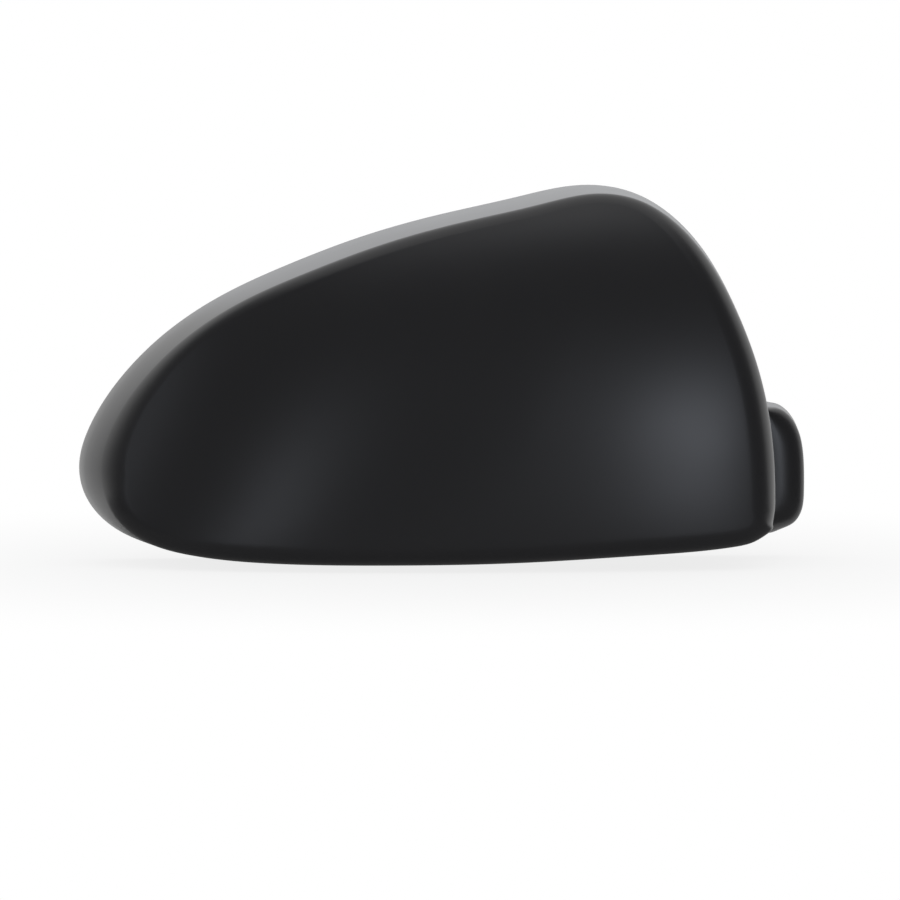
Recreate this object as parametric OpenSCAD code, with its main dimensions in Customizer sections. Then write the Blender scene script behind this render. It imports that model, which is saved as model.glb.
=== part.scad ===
// Cover of a car's wing mirror: one thin moulded shell, open at the back, with a neck for the mirror's arm.
// The front faces -Y, +X points inboard to the car, and +Z is up. The origin is on the axis of the main
// locating pin, at its shoulder. The outline is drawn round the middle of the rim and moved there at the end.

/* [Body] */
// Width from the outer tip to the inboard edge, without the neck
body_w = 230.5; // [195:0.5:265]
// Height of the rim
body_h = 123.5; // [105:0.5:140]
// Depth from the rim plane to the crown of the front
body_d = 74; // [64:0.5:84]
// Thickness of the moulded wall
wall = 2.5; // [2:0.1:3]
// How far the inboard edge leans back towards the tip at the top
edge_fall = 39; // [30:0.5:46]
// How far the inboard edge tucks in at the bottom
edge_tuck = 10.5; // [6:0.5:14]

/* [Front] */
// Place of the crown inboard of the middle
crown_x = 27; // [16:1:40]
// Place of the crown above the middle, negative when it is below
crown_z = -28; // [-34:0.5:-16]
// How far the front falls back from the crown to the outer tip
fall_tip = 44.5; // [36:0.5:48]
// How far the front falls back to the inboard edge
fall_inboard = 12; // [8:0.5:18]
// How far the front falls back to the top
fall_top = 21.5; // [14:0.5:26]
// How far the front falls back to the bottom
fall_bottom = 2; // [1:0.5:8]
// Bend of the front: at 0 the falls are parabolas, and more keeps the middle flatter
front_bend = 0.48; // [0:0.02:0.7]
// How much the fall to the tip leans with the upper edge
front_slant = 0.4; // [0:0.01:0.45]

/* [Flank] */
// Lean of the flank at the top, from the rim to the edge of the front
lean_top = 0.5; // [0.2:0.1:3]
// Lean of the flank at the bottom
lean_bottom = 2.4; // [0.4:0.1:4]
// Lean of the flank at the outer tip
lean_tip = 7.5; // [2:0.1:10]
// Lean of the flank at the inboard edge
lean_inboard = 4.5; // [2:0.1:7]
// Setback of the crisp edge between the front and the top flank
roll_top = 3; // [2.8:0.1:6]
// Setback of the soft edge at the bottom
roll_bottom = 6; // [4:0.5:14]
// Setback of the edge at the outer tip
roll_tip = 7; // [5:0.5:12]
// Setback of the edge at the inboard side
roll_inboard = 8.5; // [6:0.5:14]

/* [Neck] */
// How far the neck stands out of the inboard edge
neck_w = 10.5; // [7:0.5:14]
// Height of the neck
neck_h = 43; // [34:0.5:46]
// Height of the neck's lower end above the bottom of the rim
neck_sill = 8.6; // [7:0.2:13]
// Depth of the neck from the rim plane to its front
neck_d = 24; // [16:0.5:32]
// Rounding of the neck's front edge
neck_round = 6; // [4:0.5:8]

/* [Lip] */
// Thickness taken off the inside of the wall at the rim
lip_t = 0.9; // [0.4:0.1:1.2]
// Depth of the lip from the rim plane
lip_d = 4; // [2:0.5:6]

/* [Arm] */
// Width of the notch in the side of the neck that the mirror's arm lies in
arm_w = 20; // [14:0.5:24]
// Depth of that notch from the rim plane
arm_d = 12; // [6:0.5:15]

/* [Clips] */
// Width of a clip's tongue
clip_w = 12; // [8:0.5:16]
// Thickness of the tongue
clip_t = 1.8; // [1.4:0.1:2.4]
// Length of the tongue above its foot
clip_l = 15; // [10:0.5:20]
// Gap between the wall and the tongue
clip_gap = 3.5; // [2.5:0.1:5]
// Thickness of the foot
clip_foot = 2.4; // [1.6:0.1:3.2]
// Depth of the foot from the rim plane
clip_d = 20; // [16:0.5:24]
// How far the hook's nose stands out
clip_nose = 2; // [1.2:0.1:2.6]
// Length of the ramp that leads onto the nose
clip_ramp = 4; // [2.5:0.1:5]
// Thickness of the gusset at each side of a foot
gusset_t = 1.6; // [1.2:0.1:2.2]
// Height of the gussets on the wall
gusset_l = 9; // [6:0.5:10]

/* [Pins] */
// Diameter of a locating pin
pin_dia = 5; // [4:0.1:7]
// Length of a pin above its shoulder
pin_l = 9; // [6:0.5:14]
// Width of the chamfer on a pin's end
pin_lead = 0.8; // [0.4:0.1:1.2]
// Diameter of the post under a pin
post_dia = 8.4; // [7.5:0.1:11]
// Depth of the shoulders from the rim plane
post_d = 46; // [42:0.5:50]
// How far the fins reach from a post's axis at its foot
fin_w = 9; // [7:0.5:12]

/* [Ribs] */
// Thickness of a stiffening rib
rib_t = 1.5; // [1:0.1:2]
// Height of a rib above the inside of the front
rib_h = 4; // [2:0.5:7]

/* [Hidden] */

// Height above the bottom of the rim at which the inboard edge reaches furthest
edge_z_share = 0.18;
// Bend of the inboard edge
edge_bend = 2.24;
// Outline of the rim from the outer tip over the top to the shoulder, as shares of its width and height
top_shares = [
    [-0.500, -0.247], [-0.4845, -0.143], [-0.438, -0.009], [-0.373, 0.110], [-0.293, 0.208], [-0.200, 0.288],
    [-0.095, 0.362], [0.020, 0.422], [0.130, 0.468], [0.225, 0.500], [0.301, 0.478], [0.356, 0.416],
];
// Places on the inboard edge between the shoulder and the neck, as shares of the way down
edge_shares = [0.22, 0.47, 0.72, 0.92];
// Outline of the neck from its upper end to its lower end, as shares of its reach and height
neck_shares = [
    [0.00, 0.500], [0.32, 0.478], [0.64, 0.428], [0.90, 0.312], [1.00, 0.160],
    [1.01, -0.020], [1.00, -0.180], [0.98, -0.320], [0.84, -0.424], [0.48, -0.480], [0.05, -0.505],
];
// Share of the neck's height that its joint with the inboard edge takes up
neck_joint_share = 0.92;
// Outline of the rim from the inboard corner along the bottom to the outer tip, as shares
bottom_shares = [
    [0.478, -0.425], [0.455, -0.446], [0.422, -0.4585], [0.290, -0.477], [0.110, -0.4945], [-0.075, -0.500],
    [-0.245, -0.496], [-0.358, -0.477], [-0.425, -0.443], [-0.470, -0.386], [-0.493, -0.322],
];
// Points between two neighbours of the outline
outline_steps = 3;
// Steps of the edge roll and of the front, outside and inside
roll_steps = [5, 3];
front_steps = [7, 4];
// Depths of the flank's rings below the neck's front edge, as shares of the depth there
neck_low_shares = [0, 0.4, 0.8];
// Depths of the rings over the rounding of the neck's front edge, as shares of that rounding
neck_round_shares = [0, 0.4, 0.7, 0.88, 0.97, 1];
// Depths of the flank's rings beyond the neck, as shares of the way to the edge roll
neck_high_shares = [0.12, 0.5, 1];
// Ends of the line in the front that the rings close on, as shares of the width and height
spine_shares = [[-0.34, -0.20], [0.30, -0.05]];
// Fullness of the edge roll
roll_pull = 0.6;

// Places of the clips, as shares of the points around the outline
clip_shares = [0.061, 0.158, 0.219, 0.342, 0.772, 0.868];
// Places of the two posts, as shares of the width and height
post_shares = [[-0.16, -0.08], [0.25, 0.06]];
// Stiffening ribs: the place across the width, then the lower and upper ends, as shares
rib_shares = [[-0.31, -0.36, 0.06], [0.045, -0.36, 0.30], [0.39, -0.36, 0.16]];
// Points along a stiffening rib
rib_steps = 14;

function cut(v) = max(v, 0);
function unit(v) = v / norm(v);
function mix(a, b, t) = a + (b - a) * t;

// Height at which the inboard edge reaches furthest, and the neck's middle
edge_z = (edge_z_share - 1 / 2) * body_h;
neck_z = neck_sill + (neck_h - body_h) / 2;
neck_top = neck_z + neck_h / 2;
shoulder_z = top_shares[len(top_shares) - 1].y * body_h;
tip_z = top_shares[0].y * body_h;

// Place of the inboard edge at a height
function edge_x(z) = body_w / 2 - (z > edge_z
    ? edge_fall * pow((z - edge_z) / (body_h / 2 - edge_z), edge_bend)
    : edge_tuck * pow((edge_z - z) / (edge_z + body_h / 2), edge_bend));
function on_edge(z) = [edge_x(z), z];
function sized(shares) = [for (p = shares) [p.x * body_w, p.y * body_h]];

top_points = sized(top_shares);
edge_points = [for (s = edge_shares) on_edge(mix(shoulder_z, neck_top, s))];
bottom_points = sized(bottom_shares);
neck_points = [for (p = neck_shares) on_edge(neck_z + p.y * neck_h) + [p.x * neck_w, 0]];
joint_points = [for (j = [0:len(neck_shares) - 1])
    on_edge(neck_top - neck_h * neck_joint_share * j / (len(neck_shares) - 1))];

// A smooth closed curve through points: the gaps between them, the tangents there, then points along it
function gaps(p) = [for (i = [0:len(p) - 1]) norm(p[(i + 1) % len(p)] - p[i])];
function slopes(p, g) = [for (i = [0:len(p) - 1]) (p[(i + 1) % len(p)] - p[i]) / g[i]];
function tangents(m, s, g, rounds) =
    let (n = len(m))
    rounds == 0 ? m : tangents([for (i = [0:n - 1])
        let (a = (i + n - 1) % n, b = (i + 1) % n)
        (3 * (g[i] * s[a] + g[a] * s[i]) - g[i] * m[a] - g[a] * m[b]) / (2 * (g[i] + g[a]))], s, g, rounds - 1);
function curve_point(a, b, ma, mb, t) =
    a * (2 * t ^ 3 - 3 * t ^ 2 + 1) + ma * (t ^ 3 - 2 * t ^ 2 + t)
    + b * (3 * t ^ 2 - 2 * t ^ 3) + mb * (t ^ 3 - t ^ 2);
function closed_curve(p) =
    let (g = gaps(p), s = slopes(p, g), m = tangents(s, s, g, 24), n = len(p))
    [for (i = [0:n - 1], k = [0:outline_steps - 1])
        curve_point(p[i], p[(i + 1) % n], m[i] * g[i], m[(i + 1) % n] * g[i], k / outline_steps)];
// Outward directions along a closed outline
function outward(p) =
    let (n = len(p))
    [for (i = [0:n - 1]) let (d = unit(p[(i + 1) % n] - p[(i + n - 1) % n])) [-d.y, d.x]];

body_outline = closed_curve(concat(top_points, edge_points, joint_points, bottom_points));
neck_outline = closed_curve(concat(top_points, edge_points, neck_points, bottom_points));
// The rim leaves the body's outline only between the last point above the neck and the first below it
neck_start = (len(top_points) + len(edge_points) - 1) * outline_steps;
neck_end = (len(top_points) + len(edge_points) + len(neck_points)) * outline_steps;
rim_outline = [for (i = [0:len(body_outline) - 1])
    i > neck_start && i < neck_end ? neck_outline[i] : body_outline[i]];
body_out = outward(body_outline);
around = len(body_outline);
clip_places = [for (s = clip_shares) round(s * around)];
post_places = sized(post_shares);

// A value that goes from side to side with the outward direction
function by_side(n, top, bottom, tip, inboard) =
    (n.y > 0 ? top : bottom) * n.y ^ 2 + (n.x > 0 ? inboard : tip) * n.x ^ 2;
lean = [for (n = body_out) by_side(n, lean_top, lean_bottom, lean_tip, lean_inboard)];
roll = [for (n = body_out) by_side(n, roll_top, roll_bottom, roll_tip, roll_inboard)];

// Depth of the front at a place: from the crown it falls back to each side
function fallen(share) = (1 - front_bend) * cut(share) ^ 2 + front_bend * cut(share) ^ 4;
function front(p) = -body_d
    + fall_tip * fallen((crown_x - p.x + front_slant * (p.y - tip_z)) / (crown_x + body_w / 2))
    + fall_inboard * fallen((p.x - crown_x) / (body_w / 2 - crown_x))
    + fall_top * fallen((p.y - crown_z) / (body_h / 2 - crown_z))
    + fall_bottom * fallen((crown_z - p.y) / (crown_z + body_h / 2));
// Slope of the front at a place, towards a direction
slope_step = wall / 5;
function front_slope(p, d) = (front(p + slope_step * d) - front(p - slope_step * d)) / (2 * slope_step);
// Depth of a surface that lies inside the front by a thickness
function front_in(p, t) = front(p) + t * norm([1, front_slope(p, [1, 0]), front_slope(p, [0, 1])]);

// Least setback of the edge roll on an inner surface
roll_least = wall / 4;
// Depth of the flank at the neck, which the rings' depths are measured by
flank_d = body_d - fall_inboard - roll_inboard;

// The rings of a surface that lies inside the outer one by t: each ring is [reach of the neck, share of the
// flank's depth, thickness]
function neck_rings(t, lip) =
    let (r = max(neck_round - t, neck_round / 3), base = neck_d - t - r, full = flank_d - t)
    concat(
        t == 0
            ? [for (s = neck_low_shares) [1, base * s / full, 0]]
            : [[1, 0, t - lip], [1, lip_d / full, t - lip], [1, (lip_d + lip) / full, t],
                [1, mix(lip_d + lip, base, 1 / 2) / full, t]],
        [for (s = neck_round_shares) [sqrt(1 - s ^ 2), (base + r * s) / full, t]],
        [for (s = neck_high_shares) [0, mix(neck_d - t, full, s) / full, t]]);

function skin(t, detail, lip = 0) =
    let (
        corner = [for (i = [0:around - 1]) body_outline[i] - body_out[i] * (lean[i] + t)],
        corner_y = [for (p = corner) front_in(p, t)],
        r = [for (i = [0:around - 1]) max(roll[i] - t, roll_least)],
        low_share = [for (i = [0:around - 1]) 1 + r[i] / corner_y[i]],
        start = [for (i = [0:around - 1])
            mix(body_outline[i] - body_out[i] * t, corner[i], low_share[i])],
        start_y = [for (i = [0:around - 1]) corner_y[i] * low_share[i]],
        rise = [for (i = [0:around - 1])
            unit([-body_out[i].x * lean[i], corner_y[i], -body_out[i].y * lean[i]])],
        end = [for (i = [0:around - 1]) corner[i] - body_out[i] * r[i]],
        end_y = [for (p = end) front_in(p, t)],
        fall = [for (i = [0:around - 1]) unit([body_out[i].x,
            front_slope(end[i], body_out[i]), body_out[i].y])],
        spine = [for (i = [0:around - 1]) let (s = min(i, around - i) / (around / 2))
            [mix(spine_shares[0].x, spine_shares[1].x, s) * body_w,
                mix(spine_shares[0].y, spine_shares[1].y, s) * body_h]]
    )
    concat(
        [for (g = neck_rings(t, lip))
            let (
                plain = [for (i = [0:around - 1]) mix(body_outline[i], rim_outline[i], g[0])],
                out = outward(plain),
                pull = g[1]
            )
            [for (i = [0:around - 1])
                let (p = plain[i] - out[i] * g[2] - body_out[i] * lean[i] * low_share[i] * pull)
                [p.x, start_y[i] * pull, p.y]]],
        [for (k = [1:roll_steps[detail]])
            let (s = k / roll_steps[detail])
            [for (i = [0:around - 1])
                let (
                    a = [start[i].x, start_y[i], start[i].y],
                    b = [end[i].x, end_y[i], end[i].y]
                )
                a * (1 - s) ^ 3 + (a + rise[i] * r[i] * roll_pull) * 3 * s * (1 - s) ^ 2
                    + (b + fall[i] * r[i] * roll_pull) * 3 * s ^ 2 * (1 - s) + b * s ^ 3]],
        [for (k = [1:front_steps[detail]])
            let (s = k / front_steps[detail])
            [for (i = [0:(k == front_steps[detail] ? around / 2 : around - 1)])
                let (p = mix(end[i], spine[i], s))
                [p.x, front_in(p, t), p.y]]]
    );

function flat(rings) = [for (ring = rings, p = ring) p];
// Number of a point in its surface; the last ring is a line that both halves share
function at(k, i, last, first) = first + k * around + (k == last ? min(i % around, around - i % around) : i % around);
function web(last, first) = [for (k = [0:last - 1], i = [0:around - 1])
    each [
        [at(k, i, last, first), at(k, i + 1, last, first), at(k + 1, i + 1, last, first)],
        [at(k, i, last, first), at(k + 1, i + 1, last, first), at(k + 1, i, last, first)],
    ]];
function turned(faces) = [for (f = faces) [f[0], f[2], f[1]]];

module shell() {
    outer = skin(0, 0);
    inner = skin(wall, 1, lip_t);
    outer_points = flat(outer);
    first = len(outer_points);
    rim = [for (i = [0:around - 1]) each [
        [(i + 1) % around, i, first + i],
        [(i + 1) % around, first + i, first + (i + 1) % around],
    ]];
    polyhedron(
        points = concat(outer_points, flat(inner)),
        faces = concat(web(len(outer) - 1, 0), turned(web(len(inner) - 1, first)), rim)
    );
}

// Notch for the arm: a slot with a round end, cut through the side of the neck from the rim
module arm_notch() {
    translate([body_w / 2 + neck_w / 2, 0, neck_z])
        rotate([0, 90, 0]) {
            translate([0, arm_w / 2 - arm_d, 0])
                cylinder(d = arm_w, h = neck_w, $fn = 64);
            translate([-arm_w / 2, arm_w / 2 - arm_d, 0])
                cube([arm_w, arm_d, neck_w]);
        }
}

// Puts its children in the middle of the flank's wall at a place around the outline and a depth, with +X
// pointing into the shell and +Y to the rim
module on_flank(i, d) {
    n = body_out[i];
    p = body_outline[i] - n * (wall / 2 - lean[i] * d / front(body_outline[i]));
    translate([p.x, -d, p.y])
        rotate([0, atan2(n.y, -n.x), 0])
            children();
}

// Snap clip: a springy tongue on a foot, with a hook nose at its free end and a gusset at each side
module clip() {
    face = wall / 2 + clip_gap;
    translate([0, 0, -clip_w / 2])
        linear_extrude(clip_w)
            polygon([
                [0, 0], [face + clip_t, 0], [face + clip_t, clip_l - clip_ramp - clip_nose],
                [face + clip_t + clip_nose, clip_l - clip_ramp], [face + clip_t, clip_l], [face, clip_l],
                [face, clip_foot], [0, clip_foot],
            ]);
    for (side = [-1, 1])
        translate([0, 0, side * (clip_w + gusset_t) / 2 - gusset_t / 2])
            linear_extrude(gusset_t)
                polygon([
                    [0, 0], [face + clip_t, 0], [face + clip_t, clip_foot],
                    [wall / 2 + gusset_t, gusset_l], [0, gusset_l],
                ]);
}

// Everything below the middle of the front's wall near a place, to trim what stands on it
module below_front(p) {
    tilt = atan(front_slope(p, [1, 0]));
    reach = fin_w * 4;
    translate([p.x, front_in(p, wall / 2), p.y])
        rotate([atan(-front_slope(p, [0, 1]) * cos(tilt)), 0, tilt])
            translate([-reach / 2, -reach, -reach / 2])
                cube(reach);
}

// Locating pin on a finned post
module post(p) {
    h = -post_d - front(p);
    difference() {
        translate([p.x, -post_d, p.y])
            rotate([90, 0, 0]) {
                cylinder(d = post_dia, h = h, $fn = 48);
                translate([0, 0, -pin_l + pin_lead])
                    cylinder(d = pin_dia, h = pin_l, $fn = 48);
                translate([0, 0, -pin_l])
                    cylinder(d1 = pin_dia - 2 * pin_lead, d2 = pin_dia, h = pin_lead, $fn = 48);
                for (turn = [0, 90])
                    rotate([0, 0, turn])
                        translate([0, rib_t / 2, 0])
                            rotate([90, 0, 0])
                                linear_extrude(rib_t)
                                    polygon([
                                        [-post_dia / 2, post_dia / 2], [post_dia / 2, post_dia / 2],
                                        [fin_w, h], [-fin_w, h],
                                    ]);
            }
        below_front(p);
    }
}

// Low stiffening rib up the inside of the front, that fades out at its ends
module rib(x, low, high) {
    line = [for (k = [0:rib_steps]) [x, mix(low, high, k / rib_steps)]];
    translate([x - rib_t / 2, 0, 0])
        rotate([90, 0, 90])
            linear_extrude(rib_t)
                polygon(concat(
                    [for (p = line) [front_in(p, wall / 2), p.y]],
                    [for (k = [rib_steps:-1:0])
                        [front_in(line[k], mix(wall / 2, wall + rib_h, sqrt(sin(180 * k / rib_steps)))),
                            line[k].y]]
                ));
}

module mirror_cover() {
    color([0.13, 0.13, 0.14])
        translate([-post_places[0].x, post_d, -post_places[0].y])
            difference() {
                union() {
                    shell();
                    for (i = clip_places)
                        on_flank(i, clip_d)
                            clip();
                    for (p = post_places)
                        post(p);
                    for (r = rib_shares)
                        rib(r[0] * body_w, r[1] * body_h, r[2] * body_h);
                }
                arm_notch();
            }
}

mirror_cover();
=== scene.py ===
"""Wing mirror cover: the moulded shell with its clips, pins and ribs, its black plastic, and a pale studio.

Everything is in metres in the frame of the packed model: the front faces -Y, +X points inboard to the car, +Z
is up, and the origin is on the axis of the main locating pin, at its shoulder. The shell is worked out round
the middle of the rim, from tables of shares of its width and height, and moved there at the end.
"""

import math

import bpy
import numpy as np
from bpy.props import FloatProperty, FloatVectorProperty, IntProperty, PointerProperty
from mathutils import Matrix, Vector


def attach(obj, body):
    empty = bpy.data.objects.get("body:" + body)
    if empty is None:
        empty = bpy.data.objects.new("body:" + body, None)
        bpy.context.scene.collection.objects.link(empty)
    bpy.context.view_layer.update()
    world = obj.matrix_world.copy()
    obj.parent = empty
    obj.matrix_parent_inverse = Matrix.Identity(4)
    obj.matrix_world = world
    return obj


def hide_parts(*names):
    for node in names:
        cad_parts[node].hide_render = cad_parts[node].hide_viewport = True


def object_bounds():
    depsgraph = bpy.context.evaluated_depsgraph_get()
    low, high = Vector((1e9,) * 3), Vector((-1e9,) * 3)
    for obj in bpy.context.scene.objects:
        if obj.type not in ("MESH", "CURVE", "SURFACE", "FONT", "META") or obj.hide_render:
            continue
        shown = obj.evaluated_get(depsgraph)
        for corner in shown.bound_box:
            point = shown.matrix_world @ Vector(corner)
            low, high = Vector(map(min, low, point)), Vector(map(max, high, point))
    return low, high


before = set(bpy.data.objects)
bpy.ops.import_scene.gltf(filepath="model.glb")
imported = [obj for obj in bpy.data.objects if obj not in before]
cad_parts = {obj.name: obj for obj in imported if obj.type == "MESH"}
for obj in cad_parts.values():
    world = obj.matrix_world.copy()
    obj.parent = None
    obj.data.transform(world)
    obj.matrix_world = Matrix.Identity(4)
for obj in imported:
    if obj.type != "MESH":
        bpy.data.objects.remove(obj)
CAD_BOX = [list(corner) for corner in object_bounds()]

bl_info = {
    "name": "Wing mirror cover",
    "version": (1, 0, 0),
    "blender": (4, 5, 0),
    "location": "3D View > Sidebar > Mirror Cover",
    "description": "Builds a moulded cover for a car's wing mirror, its plastic and a pale studio",
    "category": "Object",
}

NODE = "mirror_cover"
BODY = "root"

# Outline of the rim from the outer tip over the top to the shoulder, as shares of its width and height
TOP_SHARES = [
    (-0.500, -0.247), (-0.4845, -0.143), (-0.438, -0.009), (-0.373, 0.110), (-0.293, 0.208), (-0.200, 0.288),
    (-0.095, 0.362), (0.020, 0.422), (0.130, 0.468), (0.225, 0.500), (0.301, 0.478), (0.356, 0.416),
]
# Places on the inboard edge between the shoulder and the neck, as shares of the way down
EDGE_SHARES = [0.22, 0.47, 0.72, 0.92]
# Outline of the neck from its upper end to its lower end, as shares of its reach and height
NECK_SHARES = [
    (0.00, 0.500), (0.32, 0.478), (0.64, 0.428), (0.90, 0.312), (1.00, 0.160),
    (1.01, -0.020), (1.00, -0.180), (0.98, -0.320), (0.84, -0.424), (0.48, -0.480), (0.05, -0.505),
]
# Outline of the rim from the inboard corner along the bottom to the outer tip, as shares
BOTTOM_SHARES = [
    (0.478, -0.425), (0.455, -0.446), (0.422, -0.4585), (0.290, -0.477), (0.110, -0.4945), (-0.075, -0.500),
    (-0.245, -0.496), (-0.358, -0.477), (-0.425, -0.443), (-0.470, -0.386), (-0.493, -0.322),
]
# Share of the neck's height that its joint with the inboard edge takes up
NECK_JOINT_SHARE = 0.92
# Height above the bottom of the rim at which the inboard edge reaches furthest, and the bend of that edge
EDGE_Z_SHARE = 0.18
EDGE_BEND = 2.24
# Ends of the line in the front that the rings close on, as shares of the width and height
SPINE_SHARES = [(-0.34, -0.236), (0.30, -0.192)]
# Fullness of the edge roll
ROLL_PULL = 0.6
# Places of the clips, as shares of the way round the outline
CLIP_SHARES = [0.061, 0.158, 0.219, 0.342, 0.772, 0.868]
# Points of the outline that the clips' places are rounded to
CLIP_POINTS = 114
# Places of the two posts, as shares of the width and height
POST_SHARES = [(-0.16, -0.08), (0.25, 0.06)]
# Stiffening ribs: the place across the width, then the lower and upper ends, as shares
RIB_SHARES = [(-0.31, -0.36, 0.06), (0.045, -0.36, 0.30), (0.39, -0.36, 0.16)]
# Rounds of the search for the outline's tangents
TANGENT_ROUNDS = 24
# Step over which the front's slope is taken, and the least roll on the inside, as shares of the wall
SLOPE_STEP_SHARE = 1 / 5
LEAST_ROLL_SHARE = 1 / 4
# Least rounding on the inside of the neck, as a share of the outside one
LEAST_NECK_ROUND_SHARE = 1 / 3
# Least step along the edge of the front, as a share of the outline's step, and the rounds that even it out
CORNER_SHARE = 0.3
CORNER_ROUNDS = 400

# Rings of the outside and the inside: over the rim's edge, the neck's rounding, the roll and the front
RIM_RINGS = 4
NECK_RINGS = 12
ROLL_RINGS = {"outside": 14, "inside": 8}
FRONT_RINGS = {"outside": 30, "inside": 20}
# Places of the flank's other rings, from the rim to the neck's rounding and from the neck to the roll
FLANK_LOW_SHARES = (0.25, 0.5, 0.75)
FLANK_HIGH_SHARES = (0.15, 0.45, 0.8, 1)
# Sides of a round, and points of a quarter turn of a small rounding
CURVE_SIDES = 64
ROUNDING_POINTS = 4
# How far along its two sides a rounded corner reaches at most, as a share
CORNER_REACH_SHARE = 0.4
# Sections of a post's fin and of a rib, and the angle that is left off at each end of a rib's half turn
FIN_SECTIONS = 9
RIB_SECTIONS = 40
RIB_FADE = 0.2


def length(name, description, default, low=0.0):
    """A size in metres."""
    return FloatProperty(
        name=name, description=description, default=default, min=low, unit="LENGTH", precision=5)


def share(name, description, default, high=1.0):
    """A plain number from 0."""
    return FloatProperty(name=name, description=description, default=default, min=0.0, max=high, precision=3)


def power(name, description, default):
    """The power of a lamp, in watts."""
    return FloatProperty(
        name=name, description=description, default=default, min=0.0, unit="POWER", precision=3)


def colour(name, description, default):
    """A linear colour."""
    return FloatVectorProperty(
        name=name, description=description, default=default, min=0.0, max=1.0, subtype="COLOR", size=3)


class CoverShell(bpy.types.PropertyGroup):
    """Sizes of the moulded shell."""

    body_w: length("Width", "From the outer tip to the inboard edge, without the neck", 0.2305)
    body_h: length("Height", "Height of the rim", 0.1235)
    body_d: length("Depth", "From the rim plane to the crown of the front", 0.074)
    wall: length("Wall", "Thickness of the moulded wall", 0.0025)
    edge_fall: length("Edge fall", "How far the inboard edge leans back towards the tip at the top", 0.039)
    edge_tuck: length("Edge tuck", "How far the inboard edge tucks in at the bottom", 0.0105)
    crown_x: length("Crown inboard", "Place of the crown inboard of the middle", 0.027)
    crown_z: length("Crown height", "Place of the crown above the middle", -0.028, -0.05)
    fall_tip: length("Fall to tip", "How far the front falls back from the crown to the outer tip", 0.0445)
    fall_inboard: length("Fall inboard", "How far the front falls back to the inboard edge", 0.012)
    fall_top: length("Fall to top", "How far the front falls back to the top", 0.0215)
    fall_bottom: length("Fall to bottom", "How far the front falls back to the bottom", 0.002)
    front_bend: share("Front bend", "At 0 the falls are parabolas, and more keeps the middle flatter", 0.48)
    front_slant: share("Front slant", "How much the fall to the tip leans with the upper edge", 0.4)
    lean_top: length("Lean, top", "Lean of the flank at the top", 0.0005)
    lean_bottom: length("Lean, bottom", "Lean of the flank at the bottom", 0.0024)
    lean_tip: length("Lean, tip", "Lean of the flank at the outer tip", 0.0075)
    lean_inboard: length("Lean, inboard", "Lean of the flank at the inboard edge", 0.0045)
    flank_bow: share("Flank bow", "At 0 the top and tip flanks lean evenly, at 1 most near the front", 1.0)
    roll_top: length("Roll, top", "Setback of the crisp edge between the front and the top flank", 0.003)
    roll_bottom: length("Roll, bottom", "Setback of the soft edge at the bottom", 0.006)
    roll_tip: length("Roll, tip", "Setback of the edge at the outer tip", 0.007)
    roll_inboard: length("Roll, inboard", "Setback of the edge at the inboard side", 0.0085)
    neck_w: length("Neck reach", "How far the neck stands out of the inboard edge", 0.0105)
    neck_h: length("Neck height", "Height of the neck", 0.043)
    neck_sill: length("Neck sill", "Height of the neck's lower end above the bottom of the rim", 0.0086)
    neck_d: length("Neck depth", "Depth of the neck from the rim plane to its front", 0.024)
    neck_round: length("Neck rounding", "Rounding of the neck's front edge", 0.006)
    lip_t: length("Lip", "Thickness taken off the inside of the wall at the rim", 0.0009)
    lip_d: length("Lip depth", "Depth of the lip from the rim plane", 0.004)
    rim_round: length("Rim rounding", "Rounding of the rim's two edges", 0.0003)
    arm_w: length("Arm notch", "Width of the notch in the side of the neck for the mirror's arm", 0.020)
    arm_d: length("Arm notch depth", "Depth of that notch from the rim plane", 0.012)
    around_steps: IntProperty(
        name="Outline steps", description="Points from one point of the outline's tables to the next",
        default=12, min=3, max=16)


class CoverFittings(bpy.types.PropertyGroup):
    """Sizes of the clips, the pins on their posts and the ribs."""

    clip_w: length("Clip width", "Width of a clip's tongue", 0.012)
    clip_t: length("Clip thickness", "Thickness of the tongue", 0.0018)
    clip_l: length("Clip length", "Length of the tongue above its foot", 0.015)
    clip_gap: length("Clip gap", "Gap between the wall and the tongue", 0.0035)
    clip_foot: length("Clip foot", "Thickness of the foot", 0.0024)
    clip_d: length("Clip depth", "Depth of the foot from the rim plane", 0.020)
    clip_nose: length("Hook nose", "How far the hook's nose stands out", 0.002)
    clip_ramp: length("Hook ramp", "Length of the ramp that leads onto the nose", 0.004)
    gusset_t: length("Gusset", "Thickness of the gusset at each side of a foot", 0.0016)
    gusset_l: length("Gusset height", "Height of the gussets on the wall", 0.009)
    pin_dia: length("Pin", "Diameter of a locating pin", 0.005)
    pin_l: length("Pin length", "Length of a pin above its shoulder", 0.009)
    pin_lead: length("Pin chamfer", "Width of the chamfer on a pin's end", 0.0008)
    post_dia: length("Post", "Diameter of the post under a pin", 0.0084)
    post_d: length("Shoulder depth", "Depth of the shoulders from the rim plane", 0.046)
    fin_w: length("Fins", "How far the fins reach from a post's axis at its foot", 0.009)
    rib_t: length("Rib", "Thickness of a stiffening rib", 0.0015)
    rib_h: length("Rib height", "Height of a rib above the inside of the front", 0.004)
    soft: length("Corner rounding", "Rounding of the corners of the clips, posts and ribs", 0.0003)


class CoverPlastic(bpy.types.PropertyGroup):
    """Look of the black plastic."""

    base: colour("Plastic", "Colour of the plastic", (0.0121, 0.0119, 0.0133))
    roughness: share("Roughness", "How matt the moulded surface is", 0.34)
    mottle: share("Mottle", "How much the roughness wanders over the surface", 0.03)
    grain_size: length("Grain size", "Size of the moulded grain", 0.0007)
    grain_depth: length("Grain depth", "Depth of the moulded grain", 0.000006)


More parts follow.
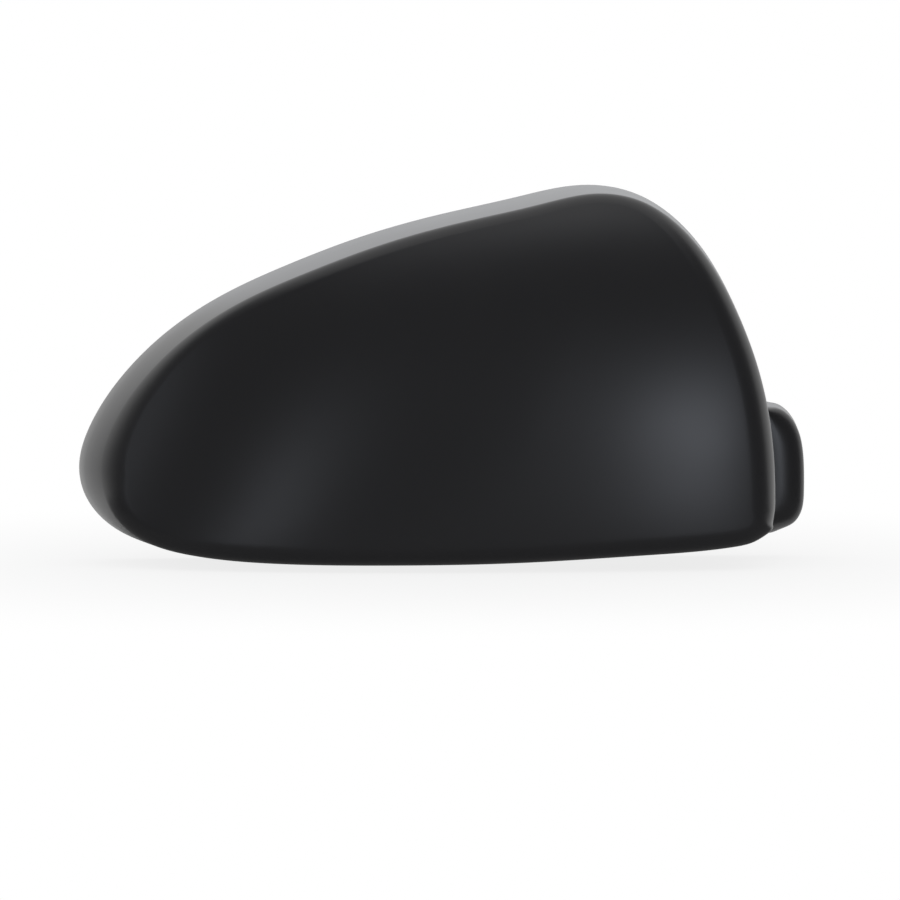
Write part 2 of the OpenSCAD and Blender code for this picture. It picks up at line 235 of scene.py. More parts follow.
class CoverStudio(bpy.types.PropertyGroup):
    """The pale studio."""

    floor: colour("Floor", "Colour of the floor", (0.9, 0.9, 0.9))
    lift: share("Lift", "How much of the floor's shadow is lightened", 0.82)
    level: share("Level", "Plain light from all round", 0.7, 4.0)
    # The two parts of the card glow and only reflections show them: painted dim reflections on the front, the
    # near part's glow a painted reflection of light bounced off the floor
    card: share("Card", "Brightness of the dark card that the front reflects", 0.10)
    near_card: share("Near card", "Brightness of that card under the cover's front", 0.19)
    daylight: colour("Daylight", "Cool colour of the lamps", (0.85, 0.90, 1.0))
    top: power("Top lamp", "Power of the wide lamp over the front", 0.316)
    right: power("Right lamp", "Power of the lamp before the inboard side of the front", 1.276)
    left: power("Left lamp", "Power of the lamp before the outer side of the front", 0.42)
    tip: power("Tip lamp", "Power of the lamp beside the outer tip", 0.251)
    rear: power("Rear lamp", "Power of the lamp behind the cover that lights its top edge", 0.284)


def mix(a, b, t):
    return a + (b - a) * t


def unit(v):
    return v / np.linalg.norm(v, axis=-1, keepdims=True)


def closed_curve(points, steps):
    """Points along a smooth closed curve through points, with tangents that follow the gaps between them."""
    ahead = np.roll(points, -1, 0)
    gap = np.linalg.norm(ahead - points, axis=1, keepdims=True)
    gap_behind = np.roll(gap, 1, 0)
    slope = (ahead - points) / gap
    pull = gap * np.roll(slope, 1, 0) + gap_behind * slope
    tangent = slope
    for _ in range(TANGENT_ROUNDS):
        tangent = (3 * pull - gap * np.roll(tangent, 1, 0) - gap_behind * np.roll(tangent, -1, 0)) / (
            2 * (gap + gap_behind))
    t = (np.arange(steps) / steps)[None, :, None]
    a, b = points[:, None], ahead[:, None]
    ma, mb = (tangent * gap)[:, None], (np.roll(tangent, -1, 0) * gap)[:, None]
    curve = (a * (2 * t**3 - 3 * t**2 + 1) + ma * (t**3 - 2 * t**2 + t)
             + b * (3 * t**2 - 2 * t**3) + mb * (t**3 - t**2))
    return curve.reshape(-1, 2)


def outward(points):
    """Outward directions along a closed outline."""
    along = unit(np.roll(points, -1, 0) - np.roll(points, 1, 0))
    return np.stack([-along[:, 1], along[:, 0]], 1)


def evened(points, outline):
    """Points set in from a closed outline, evened out where a tight corner makes them bunch or run back."""
    points = points.copy()
    step = np.roll(outline, -1, 0) - outline
    least = CORNER_SHARE * np.sum(step**2, 1)
    for _ in range(CORNER_ROUNDS):
        short = np.sum((np.roll(points, -1, 0) - points) * step, 1) < least
        short |= np.roll(short, 1)
        points = np.where(short[:, None], (np.roll(points, 1, 0) + np.roll(points, -1, 0)) / 2, points)
    return points


class Form:
    """The shell's outlines and surfaces, worked out from its sizes, round the middle of the rim."""

    def __init__(self, s, steps):
        self.s = s
        self.size = np.array([s.body_w, s.body_h])
        edge_z = (EDGE_Z_SHARE - 0.5) * s.body_h
        neck_z = s.neck_sill + (s.neck_h - s.body_h) / 2
        neck_top = neck_z + s.neck_h / 2
        self.neck_z = neck_z

        def edge_point(z):
            above = max(z - edge_z, 0) / (s.body_h / 2 - edge_z)
            below = max(edge_z - z, 0) / (edge_z + s.body_h / 2)
            x = s.body_w / 2 - s.edge_fall * above**EDGE_BEND - s.edge_tuck * below**EDGE_BEND
            return np.array([x, z])

        top, bottom = np.array(TOP_SHARES) * self.size, np.array(BOTTOM_SHARES) * self.size
        edge = [edge_point(mix(top[-1, 1], neck_top, t)) for t in EDGE_SHARES]
        neck = [edge_point(neck_z + z * s.neck_h) + (x * s.neck_w, 0) for x, z in NECK_SHARES]
        last = len(NECK_SHARES) - 1
        joint = [edge_point(neck_top - s.neck_h * NECK_JOINT_SHARE * j / last) for j in range(last + 1)]
        self.body = closed_curve(np.array([*top, *edge, *joint, *bottom]), steps)
        with_neck = closed_curve(np.array([*top, *edge, *neck, *bottom]), steps)
        self.around = len(self.body)
        self.out = outward(self.body)
        # The rim leaves the body's outline only between the last point above the neck and the first below it
        number = np.arange(self.around)
        start = (len(top) + len(edge) - 1) * steps
        end = (len(top) + len(edge) + len(neck)) * steps
        self.rim = np.where(((number > start) & (number < end))[:, None], with_neck, self.body)
        self.lean = self.by_side(s.lean_top, s.lean_bottom, s.lean_tip, s.lean_inboard)
        self.roll = self.by_side(s.roll_top, s.roll_bottom, s.roll_tip, s.roll_inboard)
        self.bow = self.by_side(s.flank_bow, 0, s.flank_bow, 0)
        self.flank_d = s.body_d - s.fall_inboard - s.roll_inboard

    def by_side(self, top, bottom, tip, inboard):
        """A value that goes from side to side with the outward direction."""
        x, z = self.out.T
        return np.where(z > 0, top, bottom) * z**2 + np.where(x > 0, inboard, tip) * x**2

    def front(self, p):
        """Depth of the front at places."""
        s, x, z = self.s, p[..., 0], p[..., 1]

        def fall(amount, share_of_way):
            way = np.maximum(share_of_way, 0)
            return amount * mix(way**2, way**4, s.front_bend)

        leaning = s.front_slant * (z - TOP_SHARES[0][1] * s.body_h)
        return (-s.body_d
                + fall(s.fall_tip, (s.crown_x - x + leaning) / (s.crown_x + s.body_w / 2))
                + fall(s.fall_inboard, (x - s.crown_x) / (s.body_w / 2 - s.crown_x))
                + fall(s.fall_top, (z - s.crown_z) / (s.body_h / 2 - s.crown_z))
                + fall(s.fall_bottom, (s.crown_z - z) / (s.crown_z + s.body_h / 2)))

    def front_slope(self, p, towards):
        """Slope of the front at places, towards directions."""
        step = self.s.wall * SLOPE_STEP_SHARE
        return (self.front(p + towards * step) - self.front(p - towards * step)) / (2 * step)

    def front_in(self, p, t):
        """Depth of a surface that lies inside the front by t."""
        p = np.asarray(p, float)
        slope_x, slope_z = (self.front_slope(p, np.array(d)) for d in ((1.0, 0.0), (0.0, 1.0)))
        return self.front(p) + t * np.sqrt(1 + slope_x**2 + slope_z**2)

    def flank_rings(self, side):
        """Each ring of the flank: reach of the neck, share of the flank's depth, and thickness."""
        s = self.s
        t = s.wall if side == "inside" else 0.0
        rim_t = t - s.lip_t if side == "inside" else 0.0
        inward = -1 if side == "inside" else 1
        rounding = max(s.neck_round - t, s.neck_round * LEAST_NECK_ROUND_SHARE)
        base, full = s.neck_d - t - rounding, self.flank_d - t
        rings = []
        for a in np.linspace(0, math.pi / 2, RIM_RINGS):
            rings.append((1, s.rim_round * (1 - math.cos(a)) / full,
                          rim_t + inward * s.rim_round * (1 - math.sin(a))))
        if side == "inside":
            rings += [(1, s.lip_d / full, rim_t), (1, (s.lip_d + s.lip_t) / full, t)]
        low = rings[-1][1] * full
        rings += [(1, mix(low, base, k) / full, t) for k in FLANK_LOW_SHARES]
        for a in np.linspace(0, math.pi / 2, NECK_RINGS):
            rings.append((math.cos(a), (base + rounding * math.sin(a)) / full, t))
        rings += [(0, mix(s.neck_d - t, full, k) / full, t) for k in FLANK_HIGH_SHARES]
        return rings

    def skin(self, side):
        """Rings of points from the rim to the line in the middle of the front, each point as x, y, z."""
        s = self.s
        t = s.wall if side == "inside" else 0.0
        corner = self.body - self.out * (self.lean + t)[:, None]
        corner_y = self.front_in(corner, t)
        r = np.maximum(self.roll - t, s.wall * LEAST_ROLL_SHARE)
        low_share = 1 + r / corner_y
        start = mix(self.body - self.out * t, corner, low_share[:, None])
        start_y = corner_y * low_share
        slant = self.out * (self.lean * (1 + self.bow))[:, None]
        rise = unit(np.stack([-slant[:, 0], corner_y, -slant[:, 1]], 1))
        end = evened(corner - self.out * r[:, None], self.body)
        end_y = self.front_in(end, t)
        fall = unit(np.stack([self.out[:, 0], self.front_slope(end, self.out), self.out[:, 1]], 1))

        rings = []
        for reach, depth, thick in self.flank_rings(side):
            plain = mix(self.body, self.rim, reach)
            lean = self.lean * low_share * mix(depth, depth**2, self.bow)
            p = plain - outward(plain) * thick - self.out * lean[:, None]
            rings.append(np.stack([p[:, 0], start_y * depth, p[:, 1]], 1))
        a = np.stack([start[:, 0], start_y, start[:, 1]], 1)
        b = np.stack([end[:, 0], end_y, end[:, 1]], 1)
        pull = (r * ROLL_PULL)[:, None]
        pull_in = (np.linalg.norm(corner - end, axis=1) * ROLL_PULL)[:, None]
        for u in np.arange(1, ROLL_RINGS[side] + 1) / ROLL_RINGS[side]:
            rings.append(a * (1 - u) ** 3 + (a + rise * pull) * 3 * u * (1 - u) ** 2
                         + (b + fall * pull_in) * 3 * u**2 * (1 - u) + b * u**3)
        number = np.arange(self.around)
        half = (1 - np.cos(2 * math.pi * number / self.around)) / 2
        spine = mix(np.array(SPINE_SHARES[0]), np.array(SPINE_SHARES[1]), half[:, None]) * self.size
        for u in np.arange(1, FRONT_RINGS[side] + 1) / FRONT_RINGS[side]:
            p = mix(end, spine, u)
            rings.append(np.stack([p[:, 0], self.front_in(p, t), p[:, 1]], 1))
        return rings

    def shell_mesh(self):
        """Points and faces of the whole shell: the outside, the inside and the rim between them."""
        points, faces, firsts = [], [], []
        around, half = self.around, self.around // 2
        for side in ("outside", "inside"):
            rings = self.skin(side)
            first = len(points)
            firsts.append(first)
            points += [p for ring in rings[:-1] for p in ring] + list(rings[-1][: half + 1])
            last = len(rings) - 1

            def at(k, i, last=last, first=first):
                i %= around
                return first + k * around + (min(i, around - i) if k == last else i)

            for k in range(last):
                for i in range(around):
                    quad = [at(k, i), at(k, i + 1), at(k + 1, i + 1), at(k + 1, i)]
                    face = [v for n, v in enumerate(quad) if v not in quad[:n]]
                    faces.append(face if side == "outside" else face[::-1])
        outer, inner = firsts
        for i in range(around):
            j = (i + 1) % around
            faces.append([outer + j, outer + i, inner + i, inner + j])
        points = np.array(points)
        return points, facing_out(points, faces)

    def on_flank(self, number, depth):
        """Turns local places into the middle of the flank's wall at a point of the outline: local x goes into
        the shell, y to the rim and z along the wall."""
        n, s = self.out[number], self.s
        share_of_depth = -depth / self.front(self.body[number])
        lean = self.lean[number] * mix(share_of_depth, share_of_depth**2, self.bow[number])
        place = self.body[number] - n * (s.wall / 2 + lean)

        def put(p):
            x, y, z = np.asarray(p, float).T
            return np.stack([place[0] - n[0] * x + n[1] * z, y - depth, place[1] - n[1] * x - n[0] * z], 1)

        return put


def facing_out(points, faces):
    """The faces of a solid, turned round if they look inwards."""
    fans = np.array([(f[0], f[i], f[i + 1]) for f in faces for i in range(1, len(f) - 1)])
    a, b, c = points[fans].swapaxes(0, 1)
    return faces if np.sum(a * np.cross(b, c)) > 0 else [face[::-1] for face in faces]


def closed_stack(rings):
    """Points and faces of a solid whose sections are rings of as many points each, with flat ends."""
    count = len(rings[0])
    faces = [[*range(count)][::-1], [(len(rings) - 1) * count + i for i in range(count)]]
    for k in range(len(rings) - 1):
        for i in range(count):
            j = (i + 1) % count
            faces.append([k * count + i, k * count + j, (k + 1) * count + j, (k + 1) * count + i])
    points = np.concatenate(rings)
    return points, facing_out(points, faces)


def softened(profile, r, steps=3):
    """A closed profile whose corners are rounded by r."""
    profile = np.asarray(profile, float)
    points = []
    for before, here, after in zip(np.roll(profile, 1, 0), profile, np.roll(profile, -1, 0)):
        a, b = unit(before - here), unit(after - here)
        half = math.acos(float(np.clip(a @ b, -1, 1))) / 2
        shorter = min(np.linalg.norm(before - here), np.linalg.norm(after - here))
        reach = min(r / math.tan(half), CORNER_REACH_SHARE * shorter)
        for t in np.linspace(0, 1, steps + 1):
            points.append(here + a * reach * (1 - t) ** 2 + b * reach * t**2)
    return np.array(points)


def inset(profile, d):
    """A closed profile, counter-clockwise, moved inwards by d."""
    return profile + outward(profile) * d if d else profile


def prism(profile, low, high, r):
    """Sections of a plate between two heights, with its two faces' edges rounded by r."""
    rings = []
    turns = np.linspace(0, math.pi / 2, ROUNDING_POINTS)
    for side, place in ((1, low), (-1, high)):
        for a in turns[::side]:
            outline = inset(profile, r * (1 - math.sin(a)))
            height = place + side * r * (1 - math.cos(a))
            rings.append(np.column_stack([outline, np.full(len(outline), height)]))
    return rings


def make_object(name, points, faces):
    """A mesh object made from points and faces."""
    mesh = bpy.data.meshes.new(name)
    mesh.from_pydata([tuple(map(float, p)) for p in points], [], [list(map(int, f)) for f in faces])
    mesh.validate()
    mesh.update()
    obj = bpy.data.objects.new(name, mesh)
    bpy.context.scene.collection.objects.link(obj)
    return obj


def combine(obj, tools):
    """Adds or cuts the tools' solids and removes them. Each tool is (operation, object)."""
    for operation, tool in tools:
        step = obj.modifiers.new(tool.name, "BOOLEAN")
        step.operation, step.solver, step.object = operation, "MANIFOLD", tool
    bpy.context.view_layer.update()
    done = bpy.data.meshes.new_from_object(obj.evaluated_get(bpy.context.evaluated_depsgraph_get()))
    obj.modifiers.clear()
    obj.data = done
    for _, tool in tools:
        bpy.data.meshes.remove(tool.data)


def cover():
    """The cover that the shell operator made."""
    found = bpy.data.objects.get("moulded_cover")
    if found is None:
        raise RuntimeError("mould the shell first")
    return found


def into_box(points):
    """Squeezes points by the hair by which the finer curves overshoot the packed model's box."""
    low, high = np.array(CAD_BOX)
    first, last = points.min(0), points.max(0)
    return low + (points - first) * (high - low) / (last - first)


def to_frame(points, fittings, shell):
    """Moves points from the middle of the rim to the main locating pin."""
    x, z = np.array(POST_SHARES[0]) * (shell.body_w, shell.body_h)
    return np.asarray(points, float) + np.array([-x, fittings.post_d, -z])


class MouldShell(bpy.types.Operator):
    """Make the thin shell with its lip, neck and arm notch"""

    bl_idname = "mirror_cover.mould_shell"
    bl_label = "Mould the Shell"
    bl_options = {"REGISTER", "UNDO"}

    def arm_slot(self, form, s):
        """A slot with a round end, to cut the arm's notch into the side of the neck."""
        start = s.body_w / 2 + s.neck_w / 2
        r = s.arm_w / 2
        round_end = [(-r * math.cos(a), r - s.arm_d - r * math.sin(a))
                     for a in np.linspace(0, math.pi, CURVE_SIDES // 2)]
        outline = np.array([*round_end, (r, s.arm_d), (-r, s.arm_d)])
        return closed_stack([
            np.column_stack([np.full(len(outline), x), outline[:, 1], form.neck_z + outline[:, 0]])
            for x in (start, start + s.neck_w)])

    def execute(self, context):
        shell, fittings = context.scene.cover_shell, context.scene.cover_fittings
        form = Form(shell, shell.around_steps)
        points, faces = form.shell_mesh()
        obj = make_object("moulded_cover", into_box(to_frame(points, fittings, shell)), faces)
        slot, slot_faces = self.arm_slot(form, shell)
        combine(obj, [("DIFFERENCE", make_object("arm_slot", to_frame(slot, fittings, shell), slot_faces))])
        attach(obj, BODY)
        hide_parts(NODE)
        return {"FINISHED"}


class MouldFittings(bpy.types.Operator):
    """Add the snap clips, the finned posts with their locating pins and the stiffening ribs"""

    bl_idname = "mirror_cover.mould_fittings"
    bl_label = "Mould the Fittings"
    bl_options = {"REGISTER", "UNDO"}

    def clips(self, form, s, f):
        """Six tongues on feet, each with a hook nose and a gusset at each side."""
        face = s.wall / 2 + f.clip_gap
        tongue = softened([
            (0, 0), (face + f.clip_t, 0), (face + f.clip_t, f.clip_l - f.clip_ramp - f.clip_nose),
            (face + f.clip_t + f.clip_nose, f.clip_l - f.clip_ramp), (face + f.clip_t, f.clip_l),
            (face, f.clip_l), (face, f.clip_foot), (0, f.clip_foot),
        ], f.soft)
        # The gussets lie a hair inside the foot, so that no two faces are in one plane
        hair = f.soft / 10
        gusset = softened([
            (0, hair), (face + f.clip_t - hair, hair), (face + f.clip_t - hair, f.clip_foot),
            (s.wall / 2 + f.gusset_t, f.gusset_l), (0, f.gusset_l),
        ], f.soft)
        bodies = []
        for clip_share in CLIP_SHARES:
            number = round(clip_share * CLIP_POINTS) * form.around // CLIP_POINTS
            put = form.on_flank(number, f.clip_d)
            half = f.clip_w / 2
            for low, high, profile in ((-half, half, tongue), (half - f.soft, half + f.gusset_t, gusset),
                                       (-half - f.gusset_t, f.soft - half, gusset)):
                rings = [put(ring) for ring in prism(profile, low, high, f.soft)]
                bodies.append(closed_stack(rings))
        return bodies

    def posts(self, form, s, f):
        """Two posts that stand on the front, each with a pin and four fins."""
        bodies = []
        shoulder, soft = -f.post_d, f.soft
        pin_r, post_r = f.pin_dia / 2, f.post_dia / 2
        steps = [(pin_r - f.pin_lead, shoulder + f.pin_l), (pin_r, shoulder + f.pin_l - f.pin_lead)]
        quarter = np.linspace(0, math.pi / 2, ROUNDING_POINTS)
        steps += [(pin_r + soft * (1 - math.cos(a)), shoulder + soft * (1 - math.sin(a))) for a in quarter]
        steps += [(post_r - soft * (1 - math.sin(a)), shoulder - soft * (1 - math.cos(a))) for a in quarter]
        turns = np.linspace(0, 2 * math.pi, CURVE_SIDES, endpoint=False)
        circle = np.stack([np.cos(turns), np.sin(turns)], 1)
        for place in np.array(POST_SHARES) * form.size:
            rings = []
            for r, y in steps:
                p = place + circle * r
                rings.append(np.stack([p[:, 0], np.full(len(p), y), p[:, 1]], 1))
            p = place + circle * post_r
            rings.append(np.stack([p[:, 0], form.front_in(p, s.wall / 2), p[:, 1]], 1))
            bodies.append(closed_stack(rings))
            for across in (np.array([1.0, 0.0]), np.array([0.0, 1.0])):
                side = np.array([-across[1], across[0]])
                rings = []
                for t in np.linspace(0, 1, FIN_SECTIONS):
                    half_w = mix(post_r, f.fin_w, t)
                    section = softened([(-half_w, -f.rib_t / 2), (half_w, -f.rib_t / 2),
                                        (half_w, f.rib_t / 2), (-half_w, f.rib_t / 2)], soft)
                    p = place + section[:, :1] * across + section[:, 1:] * side
                    # No section lies deeper than the middle of the wall, and the last one follows it
                    deep = form.front_in(p, s.wall / 2)
                    y = deep if t == 1 else np.maximum(mix(shoulder - post_r, form.front(place), t), deep)
                    rings.append(np.stack([p[:, 0], y, p[:, 1]], 1))
                bodies.append(closed_stack(rings))
        return bodies

    def ribs(self, form, s, f):
        """Three low ribs up the inside of the front, that fade out at their ends."""
        bodies = []
        for x, low, high in RIB_SHARES:
            rings = []
            for u in (1 - np.cos(np.linspace(RIB_FADE, math.pi - RIB_FADE, RIB_SECTIONS))) / 2:
                place = np.array([x * s.body_w, mix(low, high, u) * s.body_h])
                height = mix(s.wall / 2, s.wall + f.rib_h, math.sqrt(math.sin(math.pi * u)))
                deep, top = form.front_in(place, s.wall / 2), form.front_in(place, height)
                section = softened([(-f.rib_t / 2, top), (f.rib_t / 2, top),
                                    (f.rib_t / 2, deep), (-f.rib_t / 2, deep)], f.soft)
                rings.append(np.stack([place[0] + section[:, 0], section[:, 1],
                                       np.full(len(section), place[1])], 1))
            bodies.append(closed_stack(rings))
        return bodies

    def execute(self, context):
        shell, fittings = context.scene.cover_shell, context.scene.cover_fittings
        form = Form(shell, shell.around_steps)
        bodies = [*self.clips(form, shell, fittings), *self.posts(form, shell, fittings),
                  *self.ribs(form, shell, fittings)]
        tools = []
        for number, (points, faces) in enumerate(bodies):
            tool = make_object(f"fitting_{number}", to_frame(points, fittings, shell), faces)
            tools.append(("UNION", tool))
        combine(cover(), tools)
        return {"FINISHED"}


class Wire:
    """One output socket of a node tree. Arithmetic on wires adds Math nodes."""

    def __init__(self, nodes, socket):
        self.nodes, self.socket = nodes, socket

    def math(self, operation, a, b=0.0):
        return self.nodes.add("ShaderNodeMath", {"operation": operation}, {0: a, 1: b})

    def __add__(self, other):
        return self.math("ADD", self, other)

    def __sub__(self, other):
        return self.math("SUBTRACT", self, other)

    def __rsub__(self, other):
        return self.math("SUBTRACT", other, self)

    def __mul__(self, other):
        return self.math("MULTIPLY", self, other)

    def above(self, other):
        return self.math("MAXIMUM", self, other)

    __radd__ = __add__
    __rmul__ = __mul__


class Nodes:
    """A material's or the world's node tree, emptied."""

    def __init__(self, owner):
        owner.use_nodes = True
        self.tree = owner.node_tree
        self.tree.nodes.clear()

    def add(self, kind, settings=None, inputs=None, output=0):
        """Adds a node with its settings, then the values or links of its sockets. Gives one of its outputs."""
        node = self.tree.nodes.new(kind)
        for name, value in (settings or {}).items():
            setattr(node, name, value)
        for name, value in (inputs or {}).items():
            if isinstance(value, Wire):
                self.tree.links.new(value.socket, node.inputs[name])
            else:
                node.inputs[name].default_value = value
        return Wire(self, node.outputs[output]) if node.outputs else node


# Scale of the slow change over the plastic and how far it takes the colour, the detail of the noise, the
# plastic's refraction, and the angle from which an edge stays sharp
WANDER_SCALE = 18.0
WANDER_TONE = 0.07
NOISE_DETAIL = 2.0
PLASTIC_IOR = 1.5
SHARP_ANGLE = math.radians(32)


def moulded_plastic(look):
    """Black plastic, satin, with a fine moulded grain."""
    material = bpy.data.materials.new("black_moulded_plastic")
    nodes = Nodes(material)
    place = nodes.add("ShaderNodeTexCoord", output="Object")

    def noise(scale):
        return nodes.add("ShaderNodeTexNoise", {"noise_dimensions": "3D"},
                         {"Vector": place, "Scale": scale, "Detail": NOISE_DETAIL, "Roughness": 0.5}, "Fac")

    wander = noise(WANDER_SCALE)
    grain = noise(1 / look.grain_size)
    darker = [c * (1 - WANDER_TONE) for c in look.base] + [1.0]
    lighter = [c * (1 + WANDER_TONE) for c in look.base] + [1.0]
    tone = nodes.add("ShaderNodeMix", {"data_type": "RGBA"},
                     {"Factor": wander, "A": darker, "B": lighter}, "Result")
    bump = nodes.add("ShaderNodeBump", None, {"Height": grain, "Distance": look.grain_depth, "Strength": 1.0})
    surface = nodes.add("ShaderNodeBsdfPrincipled", None, {
        "Base Color": tone,
        "Roughness": (wander - 0.5) * (2 * look.mottle) + look.roughness,
        "IOR": PLASTIC_IOR,
        "Normal": bump,
    })
    nodes.add("ShaderNodeOutputMaterial", None, {"Surface": surface})
    return material


class FinishPlastic(bpy.types.Operator):
    """Smooth the moulded surfaces and give them their black plastic"""

    bl_idname = "mirror_cover.finish_plastic"
    bl_label = "Finish the Plastic"
    bl_options = {"REGISTER", "UNDO"}

    def execute(self, context):
        obj = cover()
        obj.data.materials.clear()
        obj.data.materials.append(moulded_plastic(context.scene.cover_plastic))
        obj.data.shade_smooth()
        obj.data.set_sharp_from_angle(angle=SHARP_ANGLE)
        normals = obj.modifiers.new("even_normals", "WEIGHTED_NORMAL")
        normals.keep_sharp = True
        return {"FINISHED"}


# Camera: the direction that the photo is taken from, its distance, the point that it looks at, the width of
# the view there, the near and far limits of the view, and the sensor's width in millimetres
VIEW_AZIMUTH = math.radians(-4)
VIEW_ELEVATION = math.radians(4)
VIEW_DISTANCE = 4.0
VIEW_CENTRE = (0.04473, 0.04362, -0.01626)
VIEW_WIDTH = 0.2988
VIEW_CLIP = (0.1, 50)
SENSOR = 36.0
# The floor: its height, its reach, the place that its shadow lies round, and how far from there it starts to
# go over into white and is white
FLOOR = CAD_BOX[0][2]
FLOOR_REACH = 3.0
SHADOW_PLACE = (0.042, 0.01, FLOOR)
SHADOW_REACH = (0.08, 0.30)
# The dimly glowing card that only reflections show, a painted reflection: how far round it goes to the outer
# and the inboard side, in degrees, the points along it, where it starts, where its near part ends, its
# distance, its height, and its lift off the floor
CARD_TURNS = (-119, 100)
CARD_POINTS = 64
CARD_START = 0.01
CARD_NEAR = 0.2
CARD_REACH = 1.5
CARD_HEIGHT = 2.1
CARD_LIFT = 0.0005
# The lamps: azimuth and elevation in degrees, as in direction(), width and height
LAMPS = {
    "top": (8, 56, 1.30, 0.25),
    "right": (25.2, 0, 0.31, 0.10),
    "left": (-29.5, 2.5, 0.22, 0.20),
    "tip": (-75, 17, 0.20, 0.40),
    "rear": (172, 16, 0.70, 0.40),
}
LAMP_DISTANCE = 1.1


def direction(azimuth, elevation):
    """A direction from the cover: azimuth 0 is to the front, and 90 degrees inboard."""
    return Vector((math.sin(azimuth) * math.cos(elevation), -math.cos(azimuth) * math.cos(elevation),
                   math.sin(elevation)))


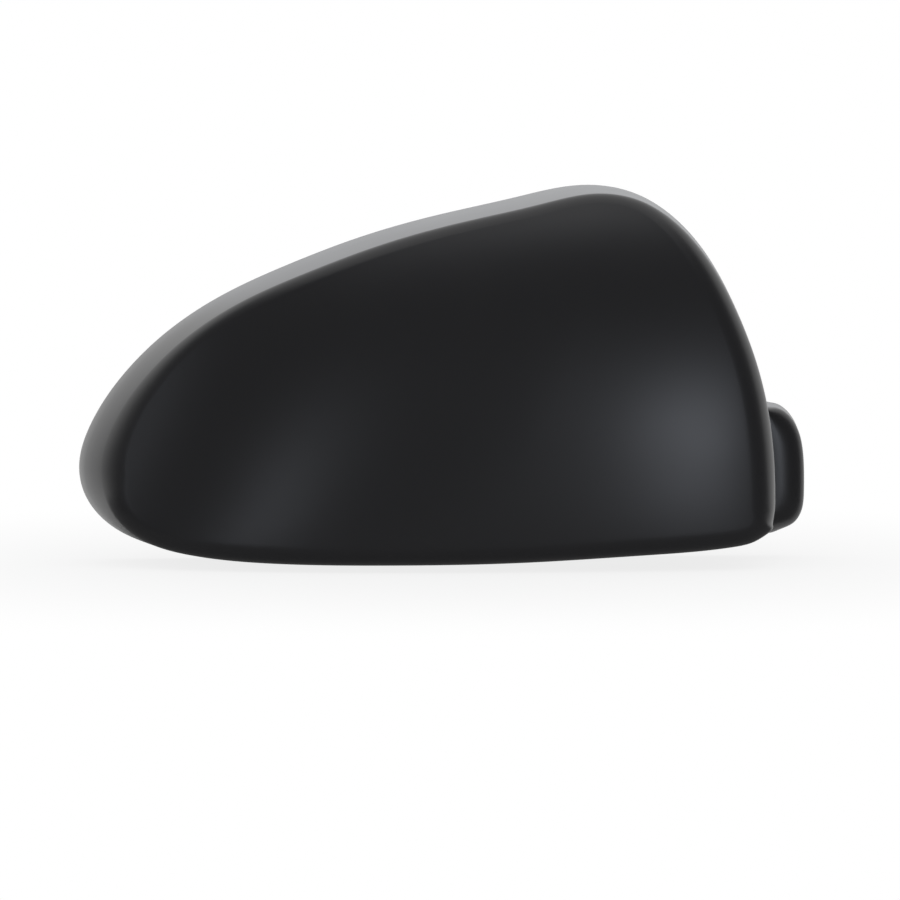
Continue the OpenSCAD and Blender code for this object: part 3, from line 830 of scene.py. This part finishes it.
class SetStage(bpy.types.Operator):
    """Set up the pale floor, the soft lamps, the white surroundings and the camera"""

    bl_idname = "mirror_cover.set_stage"
    bl_label = "Set the Stage"
    bl_options = {"REGISTER", "UNDO"}

    def camera(self, scene):
        data = bpy.data.cameras.new("camera")
        data.sensor_width = SENSOR
        data.lens = SENSOR * VIEW_DISTANCE / VIEW_WIDTH
        data.clip_start, data.clip_end = VIEW_CLIP
        camera = bpy.data.objects.new("camera", data)
        back = direction(VIEW_AZIMUTH, VIEW_ELEVATION)
        camera.location = Vector(VIEW_CENTRE) + back * VIEW_DISTANCE
        camera.rotation_euler = back.to_track_quat("Z", "Y").to_euler()
        scene.collection.objects.link(camera)
        scene.camera = camera

    def lamp(self, scene, name, place, watts, tint):
        azimuth, elevation, width, height = place
        data = bpy.data.lights.new(name, "AREA")
        data.shape, data.size, data.size_y = "RECTANGLE", width, height
        data.energy, data.color = watts, tint
        lamp = bpy.data.objects.new(name, data)
        towards = direction(math.radians(azimuth), math.radians(elevation))
        lamp.location = Vector(VIEW_CENTRE) + towards * LAMP_DISTANCE
        lamp.rotation_euler = towards.to_track_quat("Z", "Y").to_euler()
        scene.collection.objects.link(lamp)

    def white_rays(self, nodes):
        """1 for the rays that show the white background."""
        rays = [nodes.add("ShaderNodeLightPath", output=name)
                for name in ("Is Camera Ray", "Is Glossy Ray", "Is Transmission Ray")]
        return rays[0].above(rays[1]).above(rays[2])

    def world(self, scene, level):
        world = bpy.data.worlds.new("white_surroundings")
        nodes = Nodes(world)
        plain = nodes.add("ShaderNodeBackground", None, {"Color": (1, 1, 1, 1), "Strength": level})
        white = nodes.add("ShaderNodeBackground", None, {"Color": (1, 1, 1, 1), "Strength": 1.0})
        both = nodes.add("ShaderNodeMixShader", None, {0: self.white_rays(nodes), 1: plain, 2: white})
        nodes.add("ShaderNodeOutputWorld", None, {"Surface": both})
        scene.world = world

    def floor(self, colour_of_floor, lift):
        """A pale floor, as a shadow catcher that goes over into white further out."""
        turns = np.linspace(0, 2 * math.pi, CURVE_SIDES, endpoint=False)
        x, y = FLOOR_REACH * np.cos(turns), FLOOR_REACH * np.sin(turns)
        points = np.stack([x, y, np.full(len(turns), FLOOR)], 1)
        floor = make_object("floor", points, [[*range(len(points))]])
        material = bpy.data.materials.new("pale_floor")
        nodes = Nodes(material)
        pale = nodes.add("ShaderNodeBsdfDiffuse", None, {"Color": (*colour_of_floor, 1)})
        white = nodes.add("ShaderNodeEmission", None, {"Color": (1, 1, 1, 1), "Strength": 1.0})
        place = nodes.add("ShaderNodeTexCoord", output="Object")
        away = nodes.add("ShaderNodeVectorMath", {"operation": "DISTANCE"},
                         {0: place, 1: SHADOW_PLACE}, "Value")
        start, end = SHADOW_REACH
        far = nodes.add("ShaderNodeMapRange", {"interpolation_type": "SMOOTHSTEP"},
                        {"Value": away, "From Min": start, "From Max": end, "To Min": lift, "To Max": 1.0})
        surface = nodes.add("ShaderNodeMixShader", None, {0: self.white_rays(nodes) * far, 1: pale, 2: white})
        under = nodes.add("ShaderNodeNewGeometry", output="Backfacing")
        clear = nodes.add("ShaderNodeBsdfTransparent")
        both = nodes.add("ShaderNodeMixShader", None, {0: under, 1: surface, 2: clear})
        nodes.add("ShaderNodeOutputMaterial", None, {"Surface": both})
        floor.data.materials.append(material)

    def dark_card(self, near, far):
        """A card that lies before the cover and stands up round it, like the black card that a photographer
        sets up to keep a black surface black, but it glows dimly. Only reflections show it: its glow is a
        painted reflection on the plastic, and its brighter near part is a painted reflection of light bounced
        off the floor before the cover."""
        turns = np.radians(np.linspace(*CARD_TURNS, CARD_POINTS))
        foot = np.array([[*direction(a, 0)[:2], 0] for a in turns])
        end = foot * CARD_REACH
        rings = [foot * CARD_START, foot * CARD_NEAR, end, end + (0, 0, CARD_HEIGHT)]
        centre = np.array([VIEW_CENTRE[0], 0.0, FLOOR + CARD_LIFT])
        count = len(turns)
        faces = [[k * count + i, k * count + i + 1, (k + 1) * count + i + 1, (k + 1) * count + i]
                 for k in range(len(rings) - 1) for i in range(count - 1)]
        card = make_object("dark_card", np.concatenate(rings) + centre, faces)
        # Each part of the card glows by emission, a painted reflection on the plastic
        for name, brightness in (("near_card", near), ("dark_card", far)):
            material = bpy.data.materials.new(name)
            nodes = Nodes(material)
            dark = nodes.add("ShaderNodeEmission", None, {"Color": (1, 1, 1, 1), "Strength": brightness})
            nodes.add("ShaderNodeOutputMaterial", None, {"Surface": dark})
            card.data.materials.append(material)
        for face in card.data.polygons:
            face.material_index = 0 if face.index < count - 1 else 1
        card.visible_camera = card.visible_diffuse = card.visible_shadow = card.visible_transmission = False

    def execute(self, context):
        scene = context.scene
        studio = scene.cover_studio
        scene.view_settings.view_transform = "Standard"
        self.camera(scene)
        self.world(scene, studio.level)
        self.floor(studio.floor, studio.lift)
        self.dark_card(studio.near_card, studio.card)
        for name, place in LAMPS.items():
            self.lamp(scene, f"{name}_lamp", place, getattr(studio, name), studio.daylight)
        return {"FINISHED"}


class CoverPanel(bpy.types.Panel):
    """The cover's steps and sizes"""

    bl_idname = "VIEW3D_PT_mirror_cover"
    bl_label = "Mirror Cover"
    bl_space_type = "VIEW_3D"
    bl_region_type = "UI"
    bl_category = "Mirror Cover"

    def draw(self, context):
        for operator in STEPS:
            self.layout.operator(operator.bl_idname)
        for name, group in GROUPS.items():
            box = self.layout.box()
            box.label(text=group.__doc__)
            for size in group.__annotations__:
                box.prop(getattr(context.scene, name), size)


GROUPS = {
    "cover_shell": CoverShell,
    "cover_fittings": CoverFittings,
    "cover_plastic": CoverPlastic,
    "cover_studio": CoverStudio,
}
STEPS = [MouldShell, MouldFittings, FinishPlastic, SetStage]
CLASSES = [*GROUPS.values(), *STEPS, CoverPanel]


def register():
    for cls in CLASSES:
        bpy.utils.register_class(cls)
    for name, group in GROUPS.items():
        setattr(bpy.types.Scene, name, PointerProperty(type=group))


def unregister():
    for name in GROUPS:
        delattr(bpy.types.Scene, name)
    for cls in reversed(CLASSES):
        bpy.utils.unregister_class(cls)


def main():
    """Runs each step in order."""
    register()
    bpy.ops.mirror_cover.mould_shell()
    bpy.ops.mirror_cover.mould_fittings()
    bpy.ops.mirror_cover.finish_plastic()
    bpy.ops.mirror_cover.set_stage()


if __name__ == "__main__":
    main()
